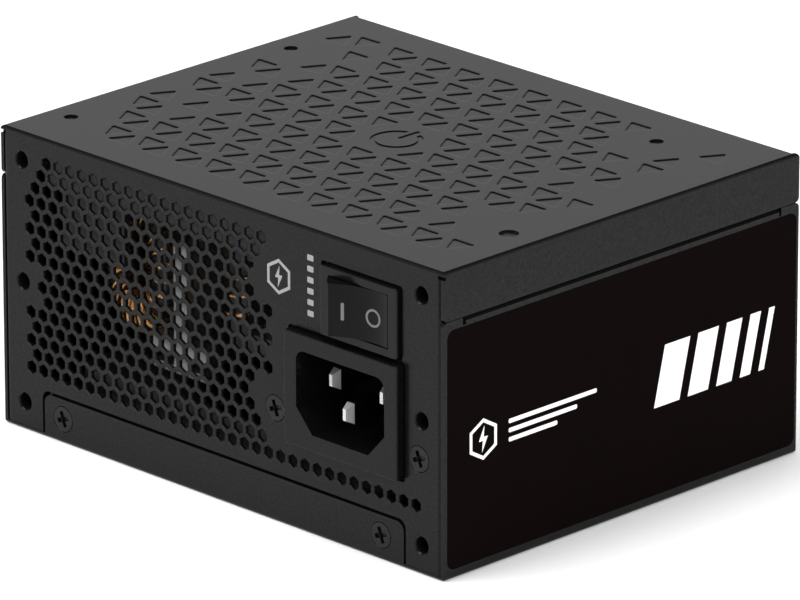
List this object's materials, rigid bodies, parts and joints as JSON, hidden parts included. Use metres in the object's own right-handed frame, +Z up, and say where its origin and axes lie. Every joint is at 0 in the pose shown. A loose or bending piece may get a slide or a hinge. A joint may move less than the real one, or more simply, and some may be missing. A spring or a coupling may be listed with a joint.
{
  "type": "computer power supply",
  "caption": "Compact modular computer power supply: folded black steel case, hexagonal vent, mains inlet and rocker switch at the rear, sockets in front, fan below.",
  "frame": {"origin": "middle of the bottom face, which carries the fan grille, as the unit lies in the picture", "axes": "+X to the right when facing the rear panel from behind the computer; -Y out of the rear panel with the mains inlet; +Y out of the socket panel; +Z up"},
  "size_m": [0.1252, 0.1043, 0.0635],
  "materials": {
    "case_paint": "fine black powder coat",
    "film": "milky insulating film",
    "label": "satin black sticker",
    "screw_steel": "black zinc",
    "inlet_plastic": "moulded black, slightly satin",
    "contact_metal": "nickel plated, brushed",
    "switch_plastic": "moulded black, satin",
    "fan_plastic": "moulded black",
    "rotor_plastic": "moulded black, slightly glossy",
    "magnet": "dark bonded magnet",
    "steel": "ground steel",
    "bearing_bronze": "sintered bronze",
    "copper": "enamelled copper wire",
    "board": "green solder mask",
    "ferrite": "dark grey ferrite",
    "heatsink": "plain extruded aluminium",
    "component_black": "black moulding compound",
    "capacitor_film": "yellow film case",
    "disc_blue": "blue lacquer",
    "fuse_ceramic": "off-white ceramic tube",
    "can_sleeve": "dark shrink sleeve",
    "polymer_can": "bare aluminium cans",
    "bobbin": "black phenolic",
    "tape": "yellow polyester tape",
    "socket_plastic": "black nylon",
    "wire_brown": "brown insulation",
    "wire_blue": "blue insulation",
    "wire_earth": "green and yellow insulation",
    "wire_black": "black sleeve",
    "connector_white": "natural nylon"
  },
  "bodies": {
    "case": {"chassis_tray": "case_paint", "fan_cover": "case_paint", "modular_panel": "case_paint", "insulation_sheet": "film", "label_right": "label", "label_left": "label", "rear_cover_screws": "screw_steel", "front_panel_screws": "screw_steel", "inlet_screws": "screw_steel", "fan_screws": "screw_steel", "inlet_housing": "inlet_plastic", "power_pins": "contact_metal", "earth_pin": "contact_metal", "switch_housing": "switch_plastic", "switch_terminals": "contact_metal", "fan_frame": "fan_plastic", "fan_mount": "fan_plastic", "fan_bearing": "bearing_bronze", "fan_stator": "steel", "fan_coils": "copper", "fan_circuit_board": "board", "fan_lead": "wire_black", "fan_connector": "connector_white", "main_pcb": "board", "pcb_standoffs": "steel", "pcb_screws": "steel", "pfc_choke_core": "ferrite", "pfc_choke_winding": "copper", "pfc_choke_base": "component_black", "primary_heatsink": "heatsink", "primary_transistors": "component_black", "bridge_rectifier": "component_black", "cm_choke_core": "ferrite", "cm_choke_windings": "copper", "x_capacitor": "capacitor_film", "y_capacitors": "disc_blue", "fuse": "fuse_ceramic", "bulk_capacitor": "can_sleeve", "transformer_core": "ferrite", "transformer_bobbin": "bobbin", "transformer_winding": "tape", "standby_transformer": "tape", "secondary_heatsink": "heatsink", "output_rectifiers": "component_black", "output_capacitors": "polymer_can", "dc_dc_board": "board", "dc_dc_chokes": "ferrite", "output_busbars": "copper", "modular_pcb": "board", "motherboard_sockets": "socket_plastic", "power_sockets": "socket_plastic", "peripheral_sockets": "socket_plastic", "socket_contacts": "contact_metal", "live_wires": "wire_brown", "neutral_wire": "wire_blue", "earth_wire": "wire_earth"},
    "rotor": {"fan_rotor": "rotor_plastic", "fan_magnet": "magnet", "fan_shaft": "steel"},
    "rocker": {"switch_rocker": "switch_plastic"}
  },
  "joints": [
    {"name": "fan_spin", "type": "hinge", "parent": "case", "child": "rotor", "pos_m": [0, 0, 0.008], "axis": [0, 0, 1], "continuous": true},
    {"name": "rocker_tilt", "type": "hinge", "parent": "case", "child": "rocker", "pos_m": [0.04015, -0.0465, 0.05015], "axis": [0, 0, -1], "range_deg": [0, 27]}
  ]
}
